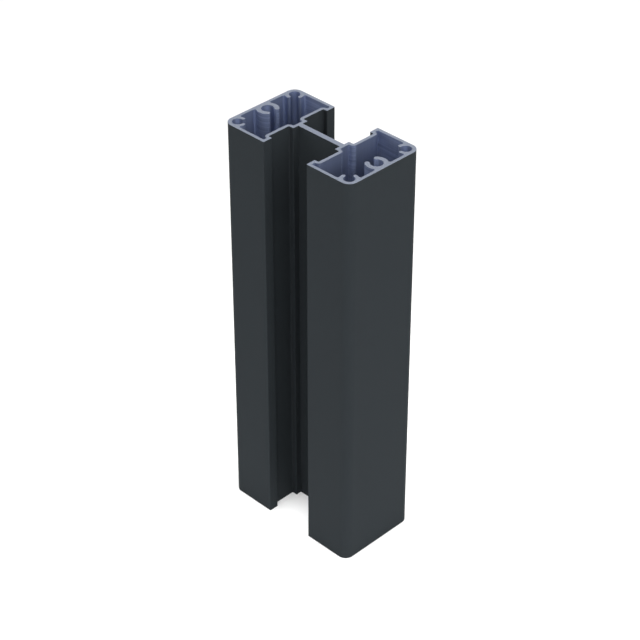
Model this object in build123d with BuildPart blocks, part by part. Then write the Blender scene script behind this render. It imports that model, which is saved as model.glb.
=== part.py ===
from build123d import *
import os

# Fence post profile: a short length of one aluminium extrusion, standing on its sawn end.
# Two hollow boxes are joined by a web, and leave a panel channel open on each side of it.
# X runs across the boxes, Y from one fence panel to the next, and Z up the post.
# The origin is at the middle of the lower end. Sizes are in millimetres, angles in degrees.

# Overall sizes
post_length = 200
post_width = 74
post_depth = 42

# Metal thickness
box_wall = 1.5
web_thickness = 2.5

# Panel channels: the mouth between the lips, how far lips and ledges reach in from the recess
# faces, how deep the lips are from the outer faces, and how deep a ledge is about the web
mouth_width = 25.2
lip_reach = 2.15
ledge_reach = 2.6
lip_depth = 4.8
ledge_depth = 8.4

# Screw ports in the outer corners of the boxes: bore, wall, and how far the port's round
# outside lies within the outer faces of the box
corner_bore = 5.0
corner_port_wall = 1.65
corner_port_inset = 0.1

# Each corner port is open towards the middle of its box, from the end of the lug on the long
# wall to the end of the lug on the end wall, as angles about the bore from +X
side_lug_angle = 181
end_lug_angle = 274

# Screw port in the middle of each end wall, its round outside touching the wall's outer face
middle_bore = 5.7
middle_port_wall = 2.15
middle_port_mouth = 90

# Edge and corner radii
lip_edge_radius = 0.3
channel_corner_radius = 0.5
box_corner_radius = 0.5
port_root_radius = 0.8

# Places worked out from the sizes above
half_width = post_width / 2
half_depth = post_depth / 2
lip_face = mouth_width / 2
recess_face = lip_face + lip_reach
ledge_face = recess_face - ledge_reach
lip_underside = half_depth - lip_depth
ledge_side = ledge_depth / 2
end_wall_inside = half_width - box_wall
side_wall_inside = half_depth - box_wall

# Every outer corner of the post is round about the bore of its own screw port
corner_port_radius = corner_bore / 2 + corner_port_wall
corner_radius = corner_port_radius + corner_port_inset
corner_port_x = half_width - corner_radius
corner_port_y = half_depth - corner_radius
middle_port_radius = middle_bore / 2 + middle_port_wall
middle_port_x = half_width - middle_port_radius


def port_wall(x, y, bore, wall, start, sweep):
    """Add the C-shaped wall of a screw port: an arc round the bore with two rounded ends."""
    middle_line = Edge.make_circle(
        (bore + wall) / 2,
        Plane((x, y, 0)),
        start_angle=start,
        end_angle=start + sweep,
    )
    SlotArc(middle_line, wall)


def on_port(vertex, x, y, radius):
    """Tell whether a corner of the section lies on the round outside of a port."""
    across = vertex.X - x
    along = abs(vertex.Y) - y
    return abs((across**2 + along**2) ** 0.5 - radius) < 0.001


def on_outer_wall(vertex):
    """Tell whether a corner of the section lies on the inside of an end wall or a side wall."""
    at_end_wall = abs(vertex.X - end_wall_inside) < 0.001
    at_side_wall = abs(abs(vertex.Y) - side_wall_inside) < 0.001
    return at_end_wall or at_side_wall


# Outline of the box on the +X side, drawn for +Y and mirrored
with BuildSketch() as box_outline:
    with BuildLine():
        Polyline(
            (ledge_face, 0),
            (ledge_face, ledge_side),
            (recess_face, ledge_side),
            (recess_face, lip_underside),
            (lip_face, lip_underside),
            (lip_face, half_depth),
            (half_width, half_depth),
            (half_width, 0),
            close=True,
        )
    make_face()
    mirror(about=Plane.XZ)
    columns = box_outline.vertices().group_by(Axis.X)
    fillet(columns[3], corner_radius)

    recess_corners = box_outline.vertices().group_by(Axis.X)[2]
    fillet(recess_corners, channel_corner_radius)

    lip_corners = box_outline.vertices().filter_by(lambda v: abs(v.X - lip_face) < 0.001)
    ledge_corners = box_outline.vertices().filter_by(lambda v: abs(v.X - ledge_face) < 0.001)
    fillet(lip_corners + ledge_corners, lip_edge_radius)

# Hollow of that box: an even wall inside the outline, with its corners rounded
with BuildSketch() as hollow:
    add(box_outline.sketch)
    offset(amount=-(box_wall + box_corner_radius))
    offset(amount=box_corner_radius)

# Section of that box with its three screw ports
with BuildSketch() as box_section:
    add(box_outline.sketch)
    add(hollow.sketch, mode=Mode.SUBTRACT)
    port_wall(
        corner_port_x,
        corner_port_y,
        corner_bore,
        corner_port_wall,
        end_lug_angle - 360,
        side_lug_angle - end_lug_angle + 360,
    )
    port_wall(
        corner_port_x,
        -corner_port_y,
        corner_bore,
        corner_port_wall,
        -side_lug_angle,
        side_lug_angle - end_lug_angle + 360,
    )
    port_wall(
        middle_port_x,
        0,
        middle_bore,
        middle_port_wall,
        middle_port_mouth / 2 - 180,
        360 - middle_port_mouth,
    )
    port_roots = box_section.vertices().filter_by(
        lambda v: on_outer_wall(v)
        and (
            on_port(v, corner_port_x, corner_port_y, corner_port_radius)
            or on_port(v, middle_port_x, 0, middle_port_radius)
        )
    )
    fillet(port_roots, port_root_radius)

# Whole section, extruded to the length of the post
with BuildPart() as post_profile:
    with BuildSketch():
        add(box_section.sketch)
        mirror(about=Plane.YZ)
        Rectangle(2 * ledge_face, web_thickness)
    extrude(amount=post_length)

post_profile.part.label = "post_profile"

os.makedirs("parts", exist_ok=True)
export_step(post_profile.part, "parts/post_profile.step")
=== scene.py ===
"""Finish, studio and camera for a short length of extruded aluminium fence post.

The post is one piece of metal with three finishes: a matt anthracite powder coat on everything
that shows once a fence is up, the sawn metal of the two ends, and the bare extruded metal inside
the hollow boxes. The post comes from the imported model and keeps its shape. One material finds
the surfaces of each finish from their place in the post. All lengths are in metres.
"""

import logging
import math
from abc import ABC, abstractmethod
from dataclasses import dataclass
from enum import Enum

import bpy
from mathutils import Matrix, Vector


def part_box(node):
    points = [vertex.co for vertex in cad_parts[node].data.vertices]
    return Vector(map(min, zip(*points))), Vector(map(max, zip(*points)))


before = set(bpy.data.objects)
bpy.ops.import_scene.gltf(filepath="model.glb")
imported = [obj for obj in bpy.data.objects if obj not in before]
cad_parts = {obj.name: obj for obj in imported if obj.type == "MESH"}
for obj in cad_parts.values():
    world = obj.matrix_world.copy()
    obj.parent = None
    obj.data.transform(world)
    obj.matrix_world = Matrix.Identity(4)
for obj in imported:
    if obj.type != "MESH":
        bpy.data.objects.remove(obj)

MM = 0.001
FLOAT = "NodeSocketFloat"
VECTOR = "NodeSocketVector"
NOISE_MIDDLE = 0.5
WHITE = (1.0, 1.0, 1.0, 1.0)
GLOSSY_BOUNCES = 12

Socket = bpy.types.NodeSocket
Tree = bpy.types.NodeTree
Triple = tuple[float, float, float]

log = logging.getLogger("fence_post")


class Treatment(Enum):
    """What was done to a surface of the post."""

    COATED = "powder coated"
    EXTRUDED = "left as extruded"
    SAWN = "sawn"


class Sketch:
    """Short calls for building a node tree."""

    def __init__(self, tree: Tree) -> None:
        """Keep the tree that the calls add to.

        Args:
            tree: A material's tree or a group.
        """
        self.tree = tree

    def node(self, kind: str, **settings: object) -> bpy.types.Node:
        """Add a node.

        Args:
            kind: The node's type.
            settings: Its properties by name.

        Returns:
            The new node.
        """
        made = self.tree.nodes.new(kind)
        for name, value in settings.items():
            setattr(made, name, value)
        return made

    def feed(self, target: Socket, source: Socket | float | tuple) -> None:
        """Link an input to its source, or set it where the source is a plain value.

        Args:
            target: The input.
            source: An output, or a value.
        """
        if isinstance(source, bpy.types.NodeSocket):
            self.tree.links.new(source, target)
        else:
            target.default_value = source

    def math(self, operation: str, *values: Socket | float) -> Socket:
        """Add a calculation with numbers.

        Args:
            operation: The Math node's operation.
            values: Its inputs in order.

        Returns:
            The result.
        """
        made = self.node("ShaderNodeMath", operation=operation)
        for target, value in zip(made.inputs, values):
            self.feed(target, value)
        return made.outputs[0]

    def vector(self, operation: str, *values: Socket | tuple) -> bpy.types.Node:
        """Add a calculation with vectors.

        Args:
            operation: The Vector Math node's operation.
            values: Its inputs in order.

        Returns:
            The node, whose result may be its vector or its value.
        """
        made = self.node("ShaderNodeVectorMath", operation=operation)
        for target, value in zip(made.inputs, values):
            self.feed(target, value)
        return made

    def parts(self, vector: Socket) -> tuple[Socket, Socket, Socket]:
        """Take a vector apart.

        Args:
            vector: The vector.

        Returns:
            Its X, Y and Z.
        """
        made = self.node("ShaderNodeSeparateXYZ")
        self.feed(made.inputs[0], vector)
        return tuple(made.outputs)

    def level(self, x: Socket, y: Socket) -> Socket:
        """Make a level vector.

        Args:
            x: Its X.
            y: Its Y.

        Returns:
            The vector, with a Z of 0.
        """
        made = self.node("ShaderNodeCombineXYZ")
        self.feed(made.inputs["X"], x)
        self.feed(made.inputs["Y"], y)
        return made.outputs["Vector"]

    def noise(self, dimensions: str, place: Socket, detail: Socket | float) -> Socket:
        """Add noise about 0 with lumps about 1 long.

        Args:
            dimensions: "1D" where the place is a number, "3D" where it is a vector.
            place: Where the noise is read.
            detail: How many finer layers it has.

        Returns:
            The noise.
        """
        made = self.node("ShaderNodeTexNoise", noise_dimensions=dimensions)
        self.feed(made.inputs["W" if dimensions == "1D" else "Vector"], place)
        self.feed(made.inputs["Scale"], 1.0)
        self.feed(made.inputs["Detail"], detail)
        return self.math("SUBTRACT", made.outputs["Fac"], NOISE_MIDDLE)

    def rise(self, value: Socket, start: Socket | float, end: float) -> Socket:
        """Turn a value into a smooth share.

        Args:
            value: The value.
            start: Where the share is still 0.
            end: Where it has come to 1.

        Returns:
            The share.
        """
        made = self.node("ShaderNodeMapRange", interpolation_type="SMOOTHSTEP")
        self.feed(made.inputs["Value"], value)
        self.feed(made.inputs["From Min"], start)
        self.feed(made.inputs["From Max"], end)
        return made.outputs["Result"]

    def mix(self, share: Socket, first: Socket | float, second: Socket | float) -> Socket:
        """Blend two numbers.

        Args:
            share: How much of the second is taken.
            first: The first number.
            second: The second number.

        Returns:
            The blend.
        """
        made = self.node("ShaderNodeMix", data_type="FLOAT")
        self.feed(made.inputs["Factor"], share)
        self.feed(made.inputs["A"], first)
        self.feed(made.inputs["B"], second)
        return made.outputs["Result"]

    def mix_colour(self, share: Socket, first: Socket, second: Socket) -> Socket:
        """Blend two colours.

        Args:
            share: How much of the second is taken.
            first: The first colour.
            second: The second colour.

        Returns:
            The blend.
        """
        made = self.node("ShaderNodeMix", data_type="RGBA")
        inputs = [socket for socket in made.inputs if socket.type == "RGBA"]
        self.feed(made.inputs["Factor"], share)
        self.feed(inputs[0], first)
        self.feed(inputs[1], second)
        return next(socket for socket in made.outputs if socket.type == "RGBA")

    def tone(self, colour: Triple, factor: Socket) -> Socket:
        """Make a fixed colour lighter or darker.

        Args:
            colour: The colour.
            factor: What it is multiplied by.

        Returns:
            The new colour.
        """
        scaled = self.vector("SCALE", colour)
        self.feed(scaled.inputs["Scale"], factor)
        return scaled.outputs["Vector"]

    def group(self, tree: Tree, **values: Socket | float | tuple) -> Socket:
        """Place a node group that has one output.

        Args:
            tree: The group.
            values: Its inputs by name, in small letters.

        Returns:
            Its output.
        """
        made = self.node("ShaderNodeGroup", node_tree=tree)
        for name, value in values.items():
            self.feed(made.inputs[name.capitalize()], value)
        return made.outputs[0]


class Group(ABC):
    """A node group with named inputs and one output, built once and placed where it is needed."""

    name: str
    inputs: dict[str, str]
    output: str

    def build(self) -> Tree:
        """Make the group.

        Returns:
            The group's tree.
        """
        tree = bpy.data.node_groups.new(self.name, "ShaderNodeTree")
        for name, kind in self.inputs.items():
            tree.interface.new_socket(name=name, in_out="INPUT", socket_type=kind)
        tree.interface.new_socket(name=self.output, in_out="OUTPUT", socket_type=FLOAT)
        sketch = Sketch(tree)
        given = sketch.node("NodeGroupInput").outputs
        result = sketch.node("NodeGroupOutput").inputs[self.output]
        sketch.feed(result, self.work_out(sketch, given))
        log.info("group %s", self.name)
        return tree

    @abstractmethod
    def work_out(self, sketch: Sketch, given: bpy.types.bpy_prop_collection) -> Socket:
        """Add the group's nodes.

        Args:
            sketch: The group's tree.
            given: The group's inputs, by name.

        Returns:
            What the group puts out.
        """


class Grain(Group):
    """Noise about 0, with its own number of lumps in a metre on each axis."""

    name = "Grain"
    inputs = {"Position": VECTOR, "Lumps": VECTOR, "Detail": FLOAT}
    output = "Grain"

    def work_out(self, sketch: Sketch, given: bpy.types.bpy_prop_collection) -> Socket:
        """See Group.work_out."""
        place = sketch.vector("MULTIPLY", given["Position"], given["Lumps"]).outputs["Vector"]
        return sketch.noise("3D", place, given["Detail"])


class Arcs(Group):
    """Uneven arcs about 0 round a far centre, as a saw blade leaves them."""

    name = "Saw arcs"
    inputs = {"Position": VECTOR, "Centre": VECTOR, "Fineness": FLOAT}
    output = "Arcs"
    detail = 3.0

    def work_out(self, sketch: Sketch, given: bpy.types.bpy_prop_collection) -> Socket:
        """See Group.work_out."""
        away = sketch.vector("DISTANCE", given["Position"], given["Centre"]).outputs["Value"]
        place = sketch.math("MULTIPLY", away, given["Fineness"])
        return sketch.noise("1D", place, self.detail)


class Ends(Group):
    """1 on the two cut ends, 0 elsewhere."""

    name = "Cut ends"
    inputs = {"Position": VECTOR, "Length": FLOAT}
    output = "Mask"
    margin = 0.01 * MM

    def work_out(self, sketch: Sketch, given: bpy.types.bpy_prop_collection) -> Socket:
        """See Group.work_out."""
        _, _, height = sketch.parts(given["Position"])
        middle = sketch.math("MULTIPLY", given["Length"], 0.5)
        away = sketch.math("ABSOLUTE", sketch.math("SUBTRACT", height, middle))
        return sketch.math("GREATER_THAN", away, sketch.math("SUBTRACT", middle, self.margin))


@dataclass(frozen=True)
class Section:
    """The post's section, as far as the finishes need it, for the quarter on the +X, +Y side."""

    half_width: float = 37.0 * MM
    half_depth: float = 21.0 * MM
    corner_radius: float = 4.25 * MM
    wall: float = 1.5 * MM
    lip_face: float = 12.6 * MM
    recess_face: float = 14.75 * MM
    ledge_face: float = 12.15 * MM
    lip_underside: float = 16.2 * MM
    ledge_side: float = 4.2 * MM
    root_radius: float = 0.8 * MM
    middle_port_x: float = 32.0 * MM
    middle_port_radius: float = 5.0 * MM
    middle_port_wall: float = 2.15 * MM
    corner_port_x: float = 32.75 * MM
    corner_port_y: float = 16.75 * MM
    corner_port_radius: float = 4.15 * MM


class SectionMask(Group):
    """A mask that follows the post's section, and so is the same all the way up the post."""

    inputs = {"Position": VECTOR}
    output = "Mask"

    def __init__(self, section: Section) -> None:
        """Keep the section.

        Args:
            section: The post's section.
        """
        self.section = section

    def quarter(self, sketch: Sketch, position: Socket) -> tuple[Socket, Socket]:
        """Fold the section's four alike quarters onto the one on the +X, +Y side.

        Args:
            sketch: The group's tree.
            position: A place on the post.

        Returns:
            How far across the boxes and how far along the fence it is from the middle.
        """
        x, y, _ = sketch.parts(position)
        return sketch.math("ABSOLUTE", x), sketch.math("ABSOLUTE", y)


class Hollows(SectionMask):
    """1 on the surfaces inside the hollow boxes, 0 on the outer ones.

    The border between them runs through the middle of the wall. It follows the round corners of
    the box and steps over the lips, the recesses and the ledges of the panel channels.
    """

    name = "Inside of the boxes"

    def work_out(self, sketch: Sketch, given: bpy.types.bpy_prop_collection) -> Socket:
        """See Group.work_out."""
        s = self.section
        half_wall = s.wall / 2
        across, along = self.quarter(sketch, given["Position"])

        past_x = sketch.math("SUBTRACT", across, s.half_width - s.corner_radius)
        past_y = sketch.math("SUBTRACT", along, s.half_depth - s.corner_radius)
        past = sketch.level(
            sketch.math("MAXIMUM", past_x, 0.0),
            sketch.math("MAXIMUM", past_y, 0.0),
        )
        reach = sketch.vector("LENGTH", past).outputs["Value"]
        within_box = sketch.math("LESS_THAN", reach, s.corner_radius - half_wall)

        below_lip = sketch.math("LESS_THAN", along, s.lip_underside + half_wall)
        at_ledge = sketch.math("LESS_THAN", along, s.ledge_side - half_wall)
        edge = sketch.mix(below_lip, s.lip_face, s.recess_face)
        edge = sketch.mix(at_ledge, edge, s.ledge_face)
        edge = sketch.math("ADD", edge, half_wall)
        past_channel = sketch.math("GREATER_THAN", across, edge)
        return sketch.math("MULTIPLY", within_box, past_channel)


class MarksAndPaintedShade(SectionMask):
    """1 inside the boxes where marks run across the post and painted shade falls, 0 elsewhere.

    The marks are on the long walls, round the middle ports and on the steps beside the web. The
    surfaces are told apart with a margin, or with a fine one where the next surface is near.
    """

    name = "Marks and painted shade"
    margin = 0.2 * MM
    fine_margin = 0.05 * MM

    def work_out(self, sketch: Sketch, given: bpy.types.bpy_prop_collection) -> Socket:
        """See Group.work_out."""
        s = self.section
        half_wall = s.wall / 2
        across, along = self.quarter(sketch, given["Position"])
        long_wall = sketch.math("GREATER_THAN", along, s.half_depth - s.wall - self.margin)

        at_web = sketch.math("LESS_THAN", across, s.recess_face + s.wall - self.fine_margin)
        step_middle = s.ledge_side - half_wall
        beside_web = sketch.math("COMPARE", along, step_middle, half_wall + self.margin)
        step = sketch.math("MULTIPLY", at_web, beside_web)

        away = sketch.level(sketch.math("SUBTRACT", across, s.middle_port_x), along)
        distance = sketch.vector("LENGTH", away).outputs["Value"]
        outer = s.middle_port_radius + self.fine_margin
        inner = s.middle_port_radius - s.middle_port_wall / 2
        port = sketch.math("COMPARE", distance, (outer + inner) / 2, (outer - inner) / 2)
        return sketch.math("MAXIMUM", sketch.math("MAXIMUM", long_wall, step), port)


class Slants(SectionMask):
    """1 where a screw port or its root faces half-way between X and Y, 0 on the flat walls.

    A port's root is taken in up to root_reach times its radius from the port. A direction of
    length 1 that is half-way between X and Y has full_slant as the product of its X and its Y.
    """

    # The metal takes this mask for a rougher finish and for a painted highlight.
    name = "Slanting port surfaces"
    inputs = {"Position": VECTOR, "Start": FLOAT}
    root_reach = 1.5
    full_slant = 0.5

    def work_out(self, sketch: Sketch, given: bpy.types.bpy_prop_collection) -> Socket:
        """See Group.work_out."""
        s = self.section
        across, along = self.quarter(sketch, given["Position"])
        between_ports = s.corner_port_y / 2
        at_corner = sketch.math("GREATER_THAN", along, between_ports)
        centre_x = sketch.mix(at_corner, s.middle_port_x, s.corner_port_x)
        centre_y = sketch.mix(at_corner, 0.0, s.corner_port_y)
        root = self.root_reach * s.root_radius
        reach = sketch.mix(at_corner, s.middle_port_radius + root, s.corner_port_radius + root)

        away = sketch.level(
            sketch.math("SUBTRACT", across, centre_x),
            sketch.math("SUBTRACT", along, centre_y),
        )
        distance = sketch.vector("LENGTH", away).outputs["Value"]
        near = sketch.math("LESS_THAN", distance, reach)
        way_x, way_y, _ = sketch.parts(sketch.vector("NORMALIZE", away).outputs["Vector"])
        product = sketch.math("ABSOLUTE", sketch.math("MULTIPLY", way_x, way_y))
        slant = sketch.math("DIVIDE", product, self.full_slant)
        return sketch.math("MULTIPLY", near, sketch.rise(slant, given["Start"], 1.0))


@dataclass(frozen=True)
class Effects:
    """The node groups that the finishes are made from."""

    grain: Tree
    arcs: Tree
    marks_and_painted_shade: Tree
    slants: Tree


@dataclass(frozen=True)
class Look:
    """What a finish hands to the shader."""

    colour: Socket
    metallic: Socket | float
    roughness: Socket
    height: Socket

    def under(self, sketch: Sketch, mask: Socket, other: "Look") -> "Look":
        """Lay another look over this one.

        Args:
            sketch: The material's tree.
            mask: 1 where the other look shows.
            other: The other look.

        Returns:
            Both looks together.
        """
        return Look(
            colour=sketch.mix_colour(mask, self.colour, other.colour),
            metallic=sketch.mix(mask, self.metallic, other.metallic),
            roughness=sketch.mix(mask, self.roughness, other.roughness),
            height=sketch.mix(mask, self.height, other.height),
        )


class Finish(ABC):
    """A finish that can be built into a material."""

    treatment: Treatment

    @abstractmethod
    def build(self, sketch: Sketch, effects: Effects, position: Socket) -> Look:
        """Add the finish to a material.

        Args:
            sketch: The material's tree.
            effects: The node groups to make it from.
            position: The place on the post.

        Returns:
            The finish's look.
        """


@dataclass(frozen=True)
class PowderCoat(Finish):
    """Matt powder coat: an even colour over a very fine orange peel."""

    treatment: Treatment = Treatment.COATED
    colour: Triple = (0.0262, 0.0311, 0.0348)
    roughness: float = 0.55
    peel_lumps: Triple = (900.0, 900.0, 900.0)
    peel_detail: float = 1.0
    peel_height: float = 0.006 * MM
    cloud_lumps: Triple = (40.0, 40.0, 25.0)
    cloud_detail: float = 3.0
    cloud_tone: float = 0.08
    cloud_roughness: float = 0.1

    def build(self, sketch: Sketch, effects: Effects, position: Socket) -> Look:
        """See Finish.build."""
        peel = sketch.group(
            effects.grain, position=position, lumps=self.peel_lumps, detail=self.peel_detail
        )
        cloud = sketch.group(
            effects.grain, position=position, lumps=self.cloud_lumps, detail=self.cloud_detail
        )
        factor = sketch.math("MULTIPLY_ADD", cloud, self.cloud_tone, 1.0)
        return Look(
            colour=sketch.tone(self.colour, factor),
            metallic=0.0,
            roughness=sketch.math("MULTIPLY_ADD", cloud, self.cloud_roughness, self.roughness),
            height=sketch.math("MULTIPLY", peel, self.peel_height),
        )


@dataclass(frozen=True)
class ExtrudedMetal(Finish):
    """Bare metal as it leaves the die: die lines up the post, marks across some walls, painted
    shade and highlight.
    """

    treatment: Treatment = Treatment.EXTRUDED
    colour: Triple = (0.297, 0.353, 0.52)
    roughness: float = 0.6
    line_lumps: Triple = (2500.0, 2500.0, 12.0)
    line_detail: float = 2.0
    line_tone: float = 0.12
    line_height: float = 0.003 * MM
    mark_lumps: Triple = (40.0, 40.0, 1200.0)
    mark_detail: float = 4.0
    mark_tone: float = 1.0
    # Painted shade: the marked walls, most of all the long walls, are painted darker.
    painted_wall_shade: float = -0.08
    slant_start: float = 0.5
    # Painted highlight: the slanting port surfaces and their roots are painted lighter.
    painted_slant_highlight: float = 0.05
    rougher: float = 0.2

    def build(self, sketch: Sketch, effects: Effects, position: Socket) -> Look:
        """See Finish.build."""
        lines = sketch.group(
            effects.grain, position=position, lumps=self.line_lumps, detail=self.line_detail
        )
        marks = sketch.group(
            effects.grain, position=position, lumps=self.mark_lumps, detail=self.mark_detail
        )
        marks_and_painted_shade = sketch.group(effects.marks_and_painted_shade, position=position)
        slants = sketch.group(effects.slants, position=position, start=self.slant_start)
        # The marks' random tone, with painted shade on the marked walls and painted highlight on
        # the slants.
        marks_and_painted_light = sketch.math("MULTIPLY_ADD", marks, self.mark_tone, self.painted_wall_shade)
        marks_and_painted_light = sketch.mix(marks_and_painted_shade, sketch.math("MULTIPLY", slants, self.painted_slant_highlight), marks_and_painted_light)
        factor = sketch.math("MULTIPLY_ADD", lines, self.line_tone, 1.0)
        rough = sketch.math("MAXIMUM", marks_and_painted_shade, slants)
        return Look(
            colour=sketch.tone(self.colour, sketch.math("ADD", factor, marks_and_painted_light)),
            metallic=1.0,
            roughness=sketch.math("MULTIPLY_ADD", rough, self.rougher, self.roughness),
            height=sketch.math("MULTIPLY", lines, self.line_height),
        )


@dataclass(frozen=True)
class SawnMetal(Finish):
    """Freshly sawn metal with the shallow arcs of the blade."""

    treatment: Treatment = Treatment.SAWN
    colour: Triple = (0.287, 0.318, 0.39)
    roughness: float = 0.65
    blade_centre: Triple = (-170.0 * MM, -120.0 * MM, 0.0)
    arc_fineness: float = 2200.0
    arc_tone: float = 0.12
    arc_roughness: float = 0.1
    arc_height: float = 0.002 * MM

    def build(self, sketch: Sketch, effects: Effects, position: Socket) -> Look:
        """See Finish.build."""
        x, y, _ = sketch.parts(position)
        arcs = sketch.group(
            effects.arcs,
            position=sketch.level(x, y),
            centre=self.blade_centre,
            fineness=self.arc_fineness,
        )
        factor = sketch.math("MULTIPLY_ADD", arcs, self.arc_tone, 1.0)
        return Look(
            colour=sketch.tone(self.colour, factor),
            metallic=1.0,
            roughness=sketch.math("MULTIPLY_ADD", arcs, self.arc_roughness, self.roughness),
            height=sketch.math("MULTIPLY", arcs, self.arc_height),
        )


@dataclass
class FencePost:
    """The post: one extruded piece and the finishes on it."""

    node: str = "post_profile"
    section: Section = Section()
    coat: PowderCoat = PowderCoat()
    inside: ExtrudedMetal = ExtrudedMetal()
    ends: SawnMetal = SawnMetal()
    coat_specular: float = 0.02

    @property
    def length(self) -> float:
        """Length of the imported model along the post."""
        low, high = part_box(self.node)
        return high[2] - low[2]

    def material(self) -> bpy.types.Material:
        """Make the material that carries the three finishes.

        Returns:
            The material.
        """
        material = bpy.data.materials.new("fence_post_finishes")
        material.use_nodes = True
        sketch = Sketch(material.node_tree)
        shader = material.node_tree.nodes["Principled BSDF"]
        position = sketch.node("ShaderNodeTexCoord").outputs["Object"]
        effects = Effects(
            grain=Grain().build(),
            arcs=Arcs().build(),
            marks_and_painted_shade=MarksAndPaintedShade(self.section).build(),
            slants=Slants(self.section).build(),
        )

        hollow = sketch.group(Hollows(self.section).build(), position=position)
        sawn = sketch.group(Ends().build(), position=position, length=self.length)
        look = self.coat.build(sketch, effects, position)
        look = look.under(sketch, hollow, self.inside.build(sketch, effects, position))
        look = look.under(sketch, sawn, self.ends.build(sketch, effects, position))

        # The looks give heights in metres, so the bump takes them as they are
        bump = sketch.node("ShaderNodeBump")
        sketch.feed(bump.inputs["Distance"], 1.0)
        sketch.feed(bump.inputs["Height"], look.height)
        sketch.feed(shader.inputs["Base Color"], look.colour)
        sketch.feed(shader.inputs["Metallic"], look.metallic)
        sketch.feed(shader.inputs["Roughness"], look.roughness)
        sketch.feed(shader.inputs["Normal"], bump.outputs["Normal"])
        sketch.feed(shader.inputs["Specular IOR Level"], self.coat_specular)
        return material

    def dress(self) -> None:
        """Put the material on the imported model."""
        material = self.material()
        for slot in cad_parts[self.node].material_slots:
            slot.material = material
        finishes = (self.coat, self.inside, self.ends)
        log.info("%s: %s", self.node, ", ".join(f.treatment.value for f in finishes))


@dataclass(frozen=True)
class Lamp(ABC):
    """A lamp that faces the post."""

    name: str
    place: Triple
    width: float
    watts: float

    @abstractmethod
    def build(self) -> bpy.types.Light:
        """Make the lamp itself, of its own kind and width.

        Returns:
            The lamp.
        """

    def hang(self, target: Vector) -> None:
        """Put the lamp in its place.

        Args:
            target: The point that it faces.
        """
        lamp = self.build()
        lamp.energy = self.watts
        holder = bpy.data.objects.new(self.name, lamp)
        holder.location = self.place
        holder.rotation_mode = "QUATERNION"
        holder.rotation_quaternion = (target - Vector(self.place)).to_track_quat("-Z", "Y")
        bpy.context.scene.collection.objects.link(holder)
        log.info("lamp %s", self.name)


@dataclass(frozen=True)
class Softbox(Lamp):
    """A round soft light."""

    def build(self) -> bpy.types.Light:
        """See Lamp.build."""
        lamp = bpy.data.lights.new(self.name, "AREA")
        lamp.shape = "DISK"
        lamp.size = self.width
        return lamp


@dataclass(frozen=True)
class Spotlight(Lamp):
    """A round lamp whose light fades from the middle of its cone to the edge."""

    cone: float = math.radians(8.0)

    def build(self) -> bpy.types.Light:
        """See Lamp.build."""
        lamp = bpy.data.lights.new(self.name, "SPOT")
        lamp.shadow_soft_size = self.width / 2
        lamp.spot_size = self.cone
        lamp.spot_blend = 1.0
        return lamp


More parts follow.
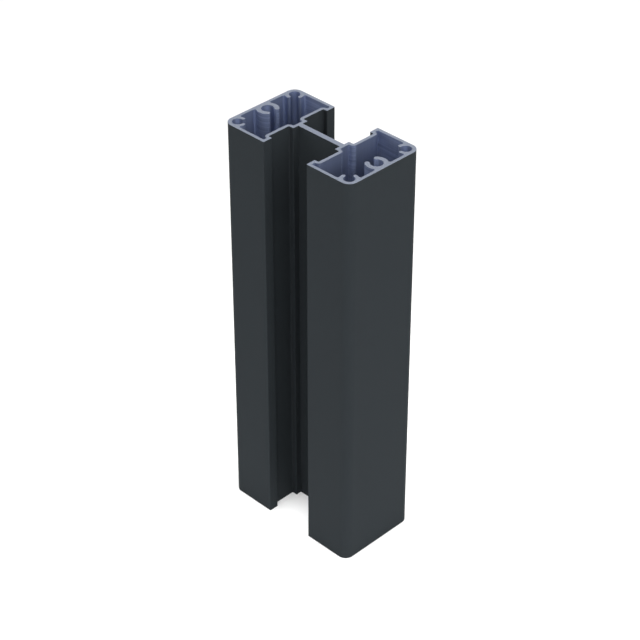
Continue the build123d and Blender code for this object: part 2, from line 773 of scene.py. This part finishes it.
@dataclass
class Studio:
    """A plain pale floor, lit mostly from above, and more weakly from three sides and behind."""

    floor_reach: float = 2.2
    floor_colour: tuple[float, float, float, float] = (0.95, 0.95, 0.95, 1.0)
    floor_roughness: float = 0.9
    sky: float = 0.05
    sky_seen: float = 1.0
    target: Triple = (0.0, 0.0, 80.0 * MM)
    lamps: tuple[Lamp, ...] = (
        Softbox("overhead", (0.0, 0.0, 3.0), 0.75, 48.6),
        Softbox("right", (1.905, 0.0, 1.18), 2.05, 32.2),
        Softbox("front_right", (1.156, -1.156, 1.552), 1.46, 17.0),
        Softbox("front", (0.0, -1.802, 1.342), 1.4, 4.7),
        Softbox("front_left", (-1.462, -1.462, 0.832), 1.43, 16.0),
        Softbox("back_left", (-1.4, 1.6, 0.5), 0.8, 7.0),
        Spotlight("overhead_spot", (0.0, 0.0, 3.0), 0.4, 290.0),
    )

    def build(self) -> None:
        """Make the floor, the sky and the lamps."""
        self.build_floor()
        self.build_sky()
        for lamp in self.lamps:
            lamp.hang(Vector(self.target))

    def build_floor(self) -> None:
        """Make the floor."""
        reach = self.floor_reach
        corners = [(-reach, -reach, 0), (reach, -reach, 0), (reach, reach, 0), (-reach, reach, 0)]
        mesh = bpy.data.meshes.new("studio_floor")
        mesh.from_pydata(corners, [], [(0, 1, 2, 3)])
        material = bpy.data.materials.new("pale_floor")
        material.use_nodes = True
        shader = material.node_tree.nodes["Principled BSDF"]
        shader.inputs["Base Color"].default_value = self.floor_colour
        shader.inputs["Roughness"].default_value = self.floor_roughness
        mesh.materials.append(material)
        floor = bpy.data.objects.new("studio_floor", mesh)
        bpy.context.scene.collection.objects.link(floor)

    def build_sky(self) -> None:
        """Make the weak even light from all round, which looks as pale as the floor."""
        world = bpy.data.worlds.new("studio_sky")
        world.use_nodes = True
        sketch = Sketch(world.node_tree)
        background = world.node_tree.nodes["Background"]
        seen = sketch.node("ShaderNodeLightPath").outputs["Is Camera Ray"]
        sketch.feed(background.inputs["Color"], WHITE)
        sketch.feed(background.inputs["Strength"], sketch.mix(seen, self.sky, self.sky_seen))
        bpy.context.scene.world = world


@dataclass
class PhotoCamera:
    """The photograph's view: along a corner of the post, through a long lens."""

    place: Triple = (506.60 * MM, -507.20 * MM, 612.68 * MM)
    direction: Triple = (-1.0, 1.0, -1.0)
    lens_mm: float = 111.45
    sensor_mm: float = 36.0
    clip: tuple[float, float] = (0.01, 50.0)

    def build(self) -> None:
        """Make the camera and look through it."""
        lens = bpy.data.cameras.new("photo_camera")
        lens.lens = self.lens_mm
        lens.sensor_width = self.sensor_mm
        lens.clip_start, lens.clip_end = self.clip
        holder = bpy.data.objects.new("photo_camera", lens)
        holder.location = self.place
        holder.rotation_mode = "QUATERNION"
        holder.rotation_quaternion = Vector(self.direction).to_track_quat("-Z", "Y")
        bpy.context.scene.collection.objects.link(holder)
        bpy.context.scene.camera = holder
        log.info("camera with a %.0f mm lens", self.lens_mm)


def main() -> None:
    """Dress the post, light it and look at it as the photograph does."""
    logging.basicConfig(level=logging.INFO, format="%(name)s: %(message)s")
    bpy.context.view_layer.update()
    FencePost().dress()
    Studio().build()
    PhotoCamera().build()
    scene = bpy.context.scene
    scene.view_settings.view_transform = "Standard"
    scene.cycles.glossy_bounces = GLOSSY_BOUNCES


if __name__ == "__main__":
    main()
